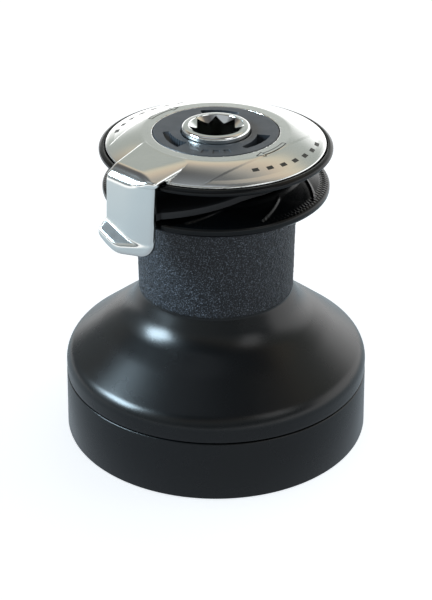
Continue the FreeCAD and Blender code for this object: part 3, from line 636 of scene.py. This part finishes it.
def stripper_ring():
    """A ring whose tail winds outwards to the arm and lifts the rope out of the jaws."""
    outline = subdivide([
        (0.0, 0.4), (0.35, 0.4), (0.9, 0.4), (1.0, 0.6), (1.0, 2.2), (0.9, 2.4), (0.35, 2.4), (0.0, 2.4),
    ], 0.06)
    inner, outer, tail_outer, tongue_outer = 32.9, 36.6, 51.0, 54.9
    tail_start, tail_end, tongue_end = -62.0, -118.0, -150.0

    def outer_radius(degrees):
        share = np.clip((degrees - tail_start) / (tail_end - tail_start), 0, 1)
        tail = outer + (tail_outer - outer) * share ** 1.3
        tongue = np.interp(-degrees, [-tail_end, 119.5, 138.5, 142.0, -tongue_end],
                           [tail_outer, tongue_outer, tongue_outer, 44.0, outer])
        plain = np.where((degrees < tongue_end) | (degrees > tail_start), outer, tail)
        return np.where((degrees <= tail_end) & (degrees >= tongue_end), tongue, plain)

    def relief(r, z, azimuth):
        degrees = (np.degrees(azimuth) + 180) % 360 - 180
        radius = inner + (outer_radius(degrees) - inner) * r
        floor = np.interp(radius, [GROOVE_R, 50.8, 55.0], [JAW_HUB_TOP, JAW_RIM_TOP, JAW_RIM_TOP])
        thick = np.interp(radius, [GROOVE_R, 50.0, 55.0], [3.6, 4.0, 4.0])
        height = floor + 0.45 + (z - 0.4) / 2.0 * (thick - 0.1)
        return radius - r, height - z

    obj = turned("stripper_ring", outline, 720, relief)
    return finish_piece(obj, "base", MATERIALS["black_plastic"], ["line_stripper"], sharp=40)


# ---------------------------------------------------------------- cover and feeder arm

# Corners of the arm. Across its width they are given as (distance out from the axis, height): where the
# flat roof starts to fall, the two bands round its end, the wall beside the jaws and the flared lip.
ARM_OUT = Vector((-0.700, -0.714, 0))
FOLD = (54.9, COVER_TOP - 0.65)
BROW = (58.3, 149.85)
EAVE = (60.2, 146.9)
WALL_OUT = 60.2
LIP_OUT = 64.6
ROOF_LEFT = (-32.7, -12.2, COVER_TOP)
ROOF_RIGHT = (-10.55, -34.5, COVER_TOP)
FOLD_LEFT = (-43.95, -33.8, FOLD[1])
FOLD_RIGHT = (-30.9, -46.6, FOLD[1])
BROW_LEFT = (-46.8, -36.0, 149.75)
CORNER_RIGHT = (-26.4, -52.35, 150.0)
FREE_EDGE_RIGHT = (-13.0, -37.6, 150.0)
WALL_CREASE = (-35.5, -49.5, 140.0)       # where the wall's two flats meet
SIDE_LEFT_TOP = (-48.7, -36.7, 144.5)
SIDE_LEFT_LOW = (-49.4, -35.9, 124.65)
SIDE_RIGHT_LOW = (-28.1, -51.9, 121.1)
CREASE_LEFT = (-49.8, -35.6, 127.1)
CREASE_RIGHT = (-40.6, -44.6, 121.9)
LIP_EDGE = (-47.6, -43.9, 119.6)
LIP_SIDE_TOP = (-53.3, -38.4, 126.0)
LIP_SIDE_LOW = (-53.3, -38.4, 112.0)
ARM_HEART = (-36.0, -36.0, 146.0)
ARM_HEART_R = math.hypot(ARM_HEART[0], ARM_HEART[1])
ARM_ROOT = 12.0                           # the arm's solid starts this far out from the axis
LIP_HEART = (-43.0, -35.0, 113.0)
BROW_TOP = 150.6
LIP_TOP = 130.0
ROOM_R = 55.25                            # hollow inside the arm, where the jaws turn
ROOM_TOP = 148.6
ROOT_R = 33.9
FOOT_LOW = 113.6
FOOT_LEFT = -46.0                         # the foot's left corner is cut off beyond this x
FOOT_CUT = (0.62, 0.78)
COVER_BOTTOM = 145.0
COVER_BORE = 22.9

STEP_AZIMUTH = math.radians(-43.5)
STEP_SIDE = Vector((math.cos(STEP_AZIMUTH), math.sin(STEP_AZIMUTH)))
STEP_NEAR = 31.7           # distance of the step's chord from the winch's axis
STEP_BOW = 2.4             # how far the chord bows outwards at its middle
STEP_HALF = 28.0
STEP_WIDTH = 0.9
STEP_DEPTH = 0.28


def cover_surface(r):
    """Height of the cover's top: a flat ring, then a slope that steepens to the edge."""
    share = np.clip((r - COVER_FLAT_R) / (COVER_R - COVER_FLAT_R), 0, 1.05)
    return COVER_TOP - (COVER_TOP - COVER_EDGE) * share ** 1.5


def cover_step(x, y):
    """Shallow step down outside a chord across the cover, the same on both sides."""
    r = np.sqrt(x * x + y * y)
    across = np.abs(STEP_SIDE.x * x + STEP_SIDE.y * y)
    bow = STEP_BOW * (1 - ((STEP_SIDE.y * x - STEP_SIDE.x * y) / STEP_HALF) ** 2)
    past = np.clip((across - STEP_NEAR - bow) / STEP_WIDTH, 0, 1)
    fade = np.clip((49.2 - r) / 2.5, 0, 1)
    return STEP_DEPTH * past * past * (3 - 2 * past) * fade


def cover_field(x, y, z):
    """The cover: a hollow dished disc with a seat for the lock disc, and the arm joined to it."""
    r = np.sqrt(x * x + y * y)
    canopy = np.interp(r, [31.5, 49.5, 60.0], [150.4, 146.9, 146.9]) + 0 * z
    disc = join_max(z - cover_surface(r) + cover_step(x, y), r - COVER_R, 0.5)
    disc = join_max(disc, COVER_BOTTOM - z, 0.3)
    disc = join_max(disc, COVER_BORE - r + 0 * z, 0.3)
    disc = join_max(disc, -join_max(31.5 - r + 0 * z, z - canopy, 0.3), 0.3)
    disc = join_max(disc, -join_max(r - (DISC_R + 0.25) + 0 * z, COVER_FLOOR - z, 0.3), 0.25)
    return join_min(disc, arm_field(x, y, z), 0.1)


def dropped(point):
    """A point straight below, to stand a plane upright."""
    return (point[0], point[1], point[2] - 10.0)


def inward(point):
    """A point nearer the winch's axis, to turn a plane edge-on to it."""
    return (point[0] * 0.9, point[1] * 0.9, point[2])


def band(inner, outer):
    """Plane across the arm's whole width through two (out, height) corners, positive above it."""
    run, fall = outer[0] - inner[0], inner[1] - outer[1]
    size = math.hypot(run, fall)
    return lambda x, y, z: (fall * (ARM_OUT.x * x + ARM_OUT.y * y - inner[0]) + run * (z - inner[1])) / size


ROOF = plane((ROOF_LEFT, ROOF_RIGHT, (-37.4, -40.3, FOLD[1])), ARM_HEART)
SLOPE_LEFT = plane((ROOF_LEFT, FOLD_LEFT, BROW_LEFT), ARM_HEART)
SLOPE_RIGHT = plane((ROOF_RIGHT, FOLD_RIGHT, CORNER_RIGHT), ARM_HEART)
FOLD_BAND = band(FOLD, BROW)
BROW_BAND = band(BROW, EAVE)
WALL_LEFT = band((WALL_OUT, 150), (WALL_OUT, 140))
WALL_RIGHT = plane((WALL_CREASE, CORNER_RIGHT, dropped(CORNER_RIGHT)), ARM_HEART)
FREE_EDGE = plane((CORNER_RIGHT, FREE_EDGE_RIGHT, dropped(CORNER_RIGHT)), ARM_HEART)
SIDE_LEFT = plane((SIDE_LEFT_TOP, SIDE_LEFT_LOW, inward(SIDE_LEFT_TOP)), ARM_HEART)
SIDE_RIGHT = plane((CORNER_RIGHT, SIDE_RIGHT_LOW, inward(CORNER_RIGHT)), ARM_HEART)
LIP_RAMP = plane((CREASE_LEFT, CREASE_RIGHT, LIP_EDGE), LIP_HEART)
LIP_FACE = band((LIP_OUT, 130), (LIP_OUT, 110))
LIP_SIDE = plane((LIP_SIDE_TOP, LIP_SIDE_LOW, inward(LIP_SIDE_TOP)), LIP_HEART)


def arm_field(x, y, z):
    """The feeder arm: its roof, the wall beside the jaws and the flared lip, hollow inside."""
    flat = 0 * (x + y)
    cut = -(x - FOOT_LEFT) * FOOT_CUT[0] - (z - FOOT_LOW) * FOOT_CUT[1]
    foot = join_max(FOOT_LOW - z + flat, cut, 3.0)
    foot = join_max(foot, SIDE_RIGHT(x, y, z), 6.5)
    bands = join_max(FOLD_BAND(x, y, z), BROW_BAND(x, y, z), 1.2)
    walls = join_max(WALL_LEFT(x, y, z), WALL_RIGHT(x, y, z), 3.0)
    roof = join_max(ROOF(x, y, z), SLOPE_RIGHT(x, y, z), 1.6)
    roof = join_max(roof, SLOPE_LEFT(x, y, z), 1.0)
    roof = join_max(roof, bands, 1.0)
    roof = join_max(roof, join_max(walls, FREE_EDGE(x, y, z), 1.6), 1.0)
    roof = join_max(roof, ROOM_TOP - 1.0 - z + flat, 0.5)
    wall = join_max(walls, bands, 0.9)
    wall = join_max(wall, SIDE_LEFT(x, y, z), 1.6)
    wall = join_max(wall, SLOPE_LEFT(x, y, z), 1.6)
    wall = join_max(wall, join_max(SLOPE_RIGHT(x, y, z), z - BROW_TOP + flat, 0.6), 1.0)
    wall = join_max(wall, foot, 1.4)
    lip = join_max(LIP_RAMP(x, y, z), LIP_FACE(x, y, z), 0.8)
    lip = join_max(lip, WALL_RIGHT(x, y, z), 1.0)
    lip = join_max(lip, LIP_SIDE(x, y, z), 2.2)
    lip = join_max(lip, foot, 1.8)
    lip = join_max(lip, z - LIP_TOP + flat, 0.5)
    whole = join_min(join_min(roof, wall, 0.3), lip, 0.6)
    r = np.sqrt(x * x + y * y)
    room = join_max(r - ROOM_R + 0 * z, z - ROOM_TOP, 1.0)
    whole = join_max(whole, -room, 0.8)
    whole = join_max(whole, ARM_ROOT - (x * ARM_HEART[0] + y * ARM_HEART[1]) / ARM_HEART_R, 0.5)
    return join_max(whole, ROOT_R - r + 0 * z, 0.1)


def arm_cover():
    cell = 0.5
    obj = solid_from_field("arm_cover", cover_field, (-57.0, -55.5, 107.5), (52.0, 52.0, 155.0), cell)
    return finish_piece(obj, "base", MATERIALS["stainless"], ["feeder_arm_cover"], sharp=50)


# ---------------------------------------------------------------- engraved marks on the cover

MARK_COUNT = 7             # plain dashes, and the arrow inside them; angles in degrees of azimuth
MARK_FIRST = -66.0
MARK_PITCH = 9.4
MARK_HALF = 2.1
MARK_R = 42.4
MARK_DRIFT = 4.0
ARROW_TAIL = -25.0
ARROW_NECK = -51.0
ARROW_TIP = -58.0
ARROW_TIP_R = 33.6
ARROW_SHAFT = (32.8, 34.6)
ARROW_BARBS = (31.6, 35.6)


def strip(points, width, lift=0.03, depth=0.12):
    """Vertices and faces of a thin inlay on the cover's surface, along (radius, azimuth) points."""
    flat = [Vector((r * math.cos(math.radians(a)), r * math.sin(math.radians(a)))) for r, a in points]
    vertices = []
    for index, here in enumerate(flat):
        ahead = flat[min(index + 1, len(flat) - 1)] - flat[max(index - 1, 0)]
        side = Vector((-ahead.y, ahead.x)).normalized() * width / 2
        for spot in (here + side, here - side):
            height = float(cover_surface(np.array(spot.length)) - cover_step(spot.x, spot.y))
            vertices.append((spot.x, spot.y, height + lift))
            vertices.append((spot.x, spot.y, height - depth))
    faces = [(0, 1, 3, 2)]
    for index in range(len(flat) - 1):
        a = index * 4
        b = a + 4
        faces += [(a, a + 2, b + 2, b), (a + 1, b + 1, b + 3, a + 3)]
        faces += [(a, b, b + 1, a + 1), (a + 2, a + 3, b + 3, b + 2)]
    end = (len(flat) - 1) * 4
    faces.append((end, end + 2, end + 3, end + 1))
    return vertices, faces


def path(start, finish, steps=24):
    """Evenly spaced points between two (radius, azimuth) ends."""
    return [tuple(a + (b - a) * k / steps for a, b in zip(start, finish)) for k in range(steps + 1)]


def cover_marks():
    """Turning arrows and plain dashes, the same on both sides of the cover."""
    vertices = []
    faces = []
    for turn in (0, 180):
        tail, neck, tip = ARROW_TAIL + turn, ARROW_NECK + turn, ARROW_TIP + turn
        inner, outer = ARROW_SHAFT
        barb_inner, barb_outer = ARROW_BARBS
        point = (ARROW_TIP_R, tip)
        lines = [
            (path((inner, tail), (inner, neck)), 0.5), (path((outer, tail), (outer, neck)), 0.5),
            (path((inner, tail), (outer, tail - 0.01), 6), 0.45),
            (path((barb_inner, neck), (barb_outer, neck - 0.01), 6), 0.45),
            (path((barb_inner, neck), point, 8), 0.55), (path((barb_outer, neck), point, 8), 0.55),
        ]
        for index in range(MARK_COUNT):
            centre = MARK_FIRST + index * MARK_PITCH + turn
            radius = MARK_R + MARK_DRIFT * index / (MARK_COUNT - 1)
            lines.append((path((radius, centre - MARK_HALF), (radius, centre + MARK_HALF), 8), 2.0))
        for points, width in lines:
            made, sides = strip(points, width)
            offset = len(vertices)
            vertices += [tuple(c * MM for c in v) for v in made]
            faces += [tuple(i + offset for i in face) for face in sides]
    obj = new_object("cover_marks", vertices, faces)
    outward(obj)
    return finish_piece(obj, "base", ENGRAVING, (), sharp=30)


# ---------------------------------------------------------------- lock disc and handle socket

SLOT_WIDE_ENDS = (107.0, -13.0, -133.0)
SLOT_SWEEP = 44.0
BLOCK_AZIMUTHS = (-102.0, -90.0, -78.0)


def lock_disc():
    outline = rounded([
        (HEAD_R + 0.4, DISC_BOTTOM, 0.2), (20, DISC_BOTTOM, 0.2), (20, COVER_FLOOR + 0.1, 0.2),
        (DISC_R, COVER_FLOOR + 0.1, 0.2),
        (DISC_R, COVER_TOP + 0.05, 0.4), (HEAD_R + 0.45, COVER_TOP + 0.05, 0.4),
    ])

    def relief(r, z, azimuth):
        degrees = np.degrees(azimuth)
        depth = np.zeros_like(r)
        for wide_end in SLOT_WIDE_ENDS:
            past = (wide_end - degrees) % 360
            share = past / SLOT_SWEEP
            low = 19.2 + 2.2 * share
            high = 25.2 - 1.2 * share
            inside = (past < SLOT_SWEEP) & (r > low) & (r < high)
            depth = np.where(inside, 4.8 * np.maximum(1 - share, 0) ** 0.8 + 0.3, depth)
        for middle in BLOCK_AZIMUTHS:
            near = (np.abs((degrees - middle + 180) % 360 - 180) < 3.6) & (r > 22.3) & (r < 25.9)
            depth = np.where(near, 0.35, depth)
        top = z > COVER_TOP - 0.5
        return np.zeros_like(r), np.where(top, -depth, 0)

    obj = turned("lock_disc", subdivide(outline, 0.25), 900, relief)
    return finish_piece(obj, "base", MATERIALS["grey_plastic"], ["cover_lock_disc"],
                        sharp=30)


def star_radius(azimuth):
    """Outline of two squares, one turned by an eighth of a turn."""
    straight = SOCKET_HALF / np.maximum(np.abs(np.cos(azimuth)), np.abs(np.sin(azimuth)))
    eighth = azimuth - math.pi / 4
    crossed = SOCKET_HALF / np.maximum(np.abs(np.cos(eighth)), np.abs(np.sin(eighth)))
    return np.maximum(straight, crossed)


def handle_socket():
    """The spindle with its domed rim and eight-point recess."""
    shaft = [
        (0.0, 2.2, 0), (9.0, 2.2, 0.4), (9.0, 32.5, 0), (13.2, 32.5, 0.3), (13.2, 41.5, 0.3),
        (SHAFT_R, 41.5, 0), (SHAFT_R, HEAD_BOTTOM, 0), (HEAD_R, HEAD_BOTTOM, 0.5),
        (HEAD_R, HEAD_TOP - 0.02, 2.2), (12.8, HEAD_TOP - 0.02, 0.8),
    ]
    outline = rounded(shaft, closed=False, step=0.2)
    rim = 12.8
    floor = HEAD_TOP - SOCKET_DEPTH
    recess = 40
    outline += [(rim - 0.05 * (k + 1), HEAD_TOP - 1 - 0.1 * k) for k in range(recess)] + [(0.0, floor)]
    first = len(outline) - recess - 1

    def relief(r, z, azimuth):
        edge = star_radius(azimuth)
        new_r = r.copy()
        new_z = z.copy()
        chamfer_rows = 24
        for k in range(recess):
            column = first + k
            if k < chamfer_rows:
                share = (k + 1) / chamfer_rows
                new_r[:, column] = rim + (edge[:, column] - rim) * share
                new_z[:, column] = HEAD_TOP - 0.25 - (rim - new_r[:, column]) * 0.85
            else:
                share = (k - chamfer_rows + 1) / (recess - chamfer_rows)
                mouth = HEAD_TOP - 0.25 - (rim - edge[:, column]) * 0.85
                new_r[:, column] = edge[:, column]
                new_z[:, column] = mouth + (floor - mouth) * share
        return new_r - r, new_z - z

    obj = turned("handle_socket", outline, 720, relief)
    return finish_piece(obj, "spindle", MATERIALS["polished_steel"], ["handle_spindle"],
                        sharp=40)


# ---------------------------------------------------------------- studio

# Brightness round the object by elevation in degrees, behind it and before it: a bright horizon behind,
# a warm band and a dark ceiling.
SKY_BEHIND = [
    (-90, (0.45, 0.48, 0.50)), (-3, (0.95, 0.95, 0.95)), (10, (0.95, 0.95, 0.95)),
    (17, (0.50, 0.51, 0.50)), (23, (0.235, 0.25, 0.235)), (32, (0.225, 0.24, 0.225)),
    (38, (0.40, 0.36, 0.28)), (45, (0.38, 0.31, 0.24)), (53, (0.24, 0.225, 0.20)),
    (60, (0.17, 0.17, 0.16)), (72, (0.10, 0.105, 0.11)), (80, (0.24, 0.255, 0.27)),
    (90, (0.24, 0.255, 0.27)),
]
SKY_BEFORE = [
    (-90, (0.30, 0.33, 0.36)), (-4, (0.80, 0.82, 0.84)), (2, (0.10, 0.115, 0.12)),
    (16, (0.10, 0.11, 0.115)), (26, (0.22, 0.235, 0.23)), (34, (0.22, 0.225, 0.215)),
    (40, (0.24, 0.21, 0.17)), (49, (0.085, 0.08, 0.075)), (62, (0.05, 0.05, 0.052)),
    (72, (0.10, 0.105, 0.11)), (80, (0.24, 0.255, 0.27)), (90, (0.24, 0.255, 0.27)),
]
SKY_STRENGTH = 2.0
SKY_UP = (-0.11, 0, 0.5)          # direction in which the bands rise
SKY_BACK = (0.6, 0.8, 0)          # direction that counts as behind the object
LAMPS = (                         # name, place, size, power, colour
    ("key", (-0.92, -0.16, 0.62), (0.50, 0.32), 24.0, (0.66, 0.86, 1.0)),
    ("fill", (0.8, -0.7, 0.9), (0.5, 0.5), 1.2, (0.97, 0.98, 1.0)),
)
LAMP_TARGET = (0, 0, 0.07)


def sky(tree, height, bands):
    return ramp(tree, height, [((math.sin(math.radians(up)) + 1) / 2, colour) for up, colour in bands])


def studio():
    """A pale floor, a soft world and broad lamps."""
    scene = bpy.context.scene
    scene.view_settings.view_transform = "Standard"
    world = bpy.data.worlds.new("studio")
    scene.world = world
    world.use_nodes = True
    tree = world.node_tree
    place = tree.nodes.new("ShaderNodeTexCoord")
    halves = []
    for axis in (SKY_UP, SKY_BACK):
        part = tree.nodes.new("ShaderNodeVectorMath")
        part.operation = "DOT_PRODUCT"
        part.inputs[1].default_value = axis
        tree.links.new(place.outputs["Generated"], part.inputs[0])
        shift = tree.nodes.new("ShaderNodeMath")
        shift.operation = "ADD"
        shift.inputs[1].default_value = 0.5
        tree.links.new(part.outputs["Value"], shift.inputs[0])
        halves.append(shift.outputs["Value"])
    blend = tree.nodes.new("ShaderNodeMix")
    blend.data_type = "RGBA"
    tree.links.new(ramp(tree, halves[1], [(0.80, (0, 0, 0)), (1.0, (1, 1, 1))]), blend.inputs["Factor"])
    tree.links.new(sky(tree, halves[0], SKY_BEFORE), blend.inputs["A"])
    tree.links.new(sky(tree, halves[0], SKY_BEHIND), blend.inputs["B"])
    lamp = tree.nodes["Background"]
    lamp.inputs["Strength"].default_value = SKY_STRENGTH
    tree.links.new(blend.outputs["Result"], lamp.inputs["Color"])

    pale = material("floor_pale", (0.80, 0.82, 0.84), 0.9,
                    Emission_Color=(0.92, 0.96, 1.0, 1), Emission_Strength=0.8)
    floor = floor_plane("floor", -0.0002, pale)
    vary_roughness(floor.data.materials[0], 3, 0.85, 0.95)
    floor.visible_glossy = False
    # painted reflection: a glowing card seen only by glossy rays, with painted shade near the object
    card = floor_plane("painted_reflection_card", -0.0004, painted_floor_reflection())
    card.visible_camera = False
    card.visible_diffuse = False
    card.visible_shadow = False
    unlit = bpy.data.collections.new("not_lit_by_lamps")
    for staged in (floor, card):
        unlit.objects.link(staged)
    for linked in unlit.collection_objects:
        linked.light_linking.link_state = "EXCLUDE"
    for name, place, size, power, colour in LAMPS:
        data = bpy.data.lights.new(name, "AREA")
        data.shape = "RECTANGLE"
        data.size, data.size_y = size
        data.energy = power
        data.color = colour
        lamp_object = bpy.data.objects.new(name, data)
        lamp_object.location = place
        towards = Vector(LAMP_TARGET) - Vector(place)
        lamp_object.rotation_euler = towards.to_track_quat("-Z", "Y").to_euler()
        lamp_object.light_linking.receiver_collection = unlit
        bpy.context.collection.objects.link(lamp_object)


def floor_plane(name, height, surface):
    bpy.ops.mesh.primitive_plane_add(size=8, location=(0, 0, height))
    plate = bpy.context.object
    plate.name = name
    plate.data.materials.append(surface)
    return plate


def painted_floor_reflection():
    """A glowing card that stands in for the floor in reflections: painted reflection, with painted shade
    (grey) near the object and brighter further out.
    """
    made = material("painted_reflection_card", (0.02, 0.02, 0.02), 0.9, Emission_Strength=1.0)
    tree = made.node_tree
    place = tree.nodes.new("ShaderNodeTexCoord")
    shifted = tree.nodes.new("ShaderNodeVectorMath")
    shifted.inputs[1].default_value = (0, 0.12, 0)
    tree.links.new(place.outputs["Object"], shifted.inputs[0])
    far = tree.nodes.new("ShaderNodeVectorMath")
    far.operation = "LENGTH"
    tree.links.new(shifted.outputs["Vector"], far.inputs[0])
    # painted shade grey near the object, then a painted bright floor reflection further out
    colour = ramp(tree, far.outputs["Value"], [
        (0.08, (0.42, 0.47, 0.52)), (0.30, (0.53, 0.64, 0.71)), (0.42, (0.70, 0.78, 0.82)),
        (0.60, (1.25, 1.28, 1.30)), (1.0, (1.3, 1.3, 1.3)),
    ])
    tree.links.new(colour, tree.nodes["Principled BSDF"].inputs["Emission Color"])
    return made


def camera():
    """The photograph's viewpoint: 29 degrees above the deck."""
    data = bpy.data.cameras.new("camera")
    data.lens = 92.48
    data.sensor_width = 36
    data.clip_start = 0.01
    obj = bpy.data.objects.new("camera", data)
    target = Vector((0, 0, 0.06437))
    distance = 0.74764
    elevation = math.radians(29.155)
    obj.location = target + Vector((0, -math.cos(elevation), math.sin(elevation))) * distance
    obj.rotation_euler = (target - obj.location).to_track_quat("-Z", "Y").to_euler()
    bpy.context.collection.objects.link(obj)
    bpy.context.scene.camera = obj


dress_cad_nodes()
base_ring()
drum_body()
drum_grip()
jaw_lower()
jaw_upper()
stripper_ring()
arm_cover()
cover_marks()
lock_disc()
handle_socket()
studio()
camera()
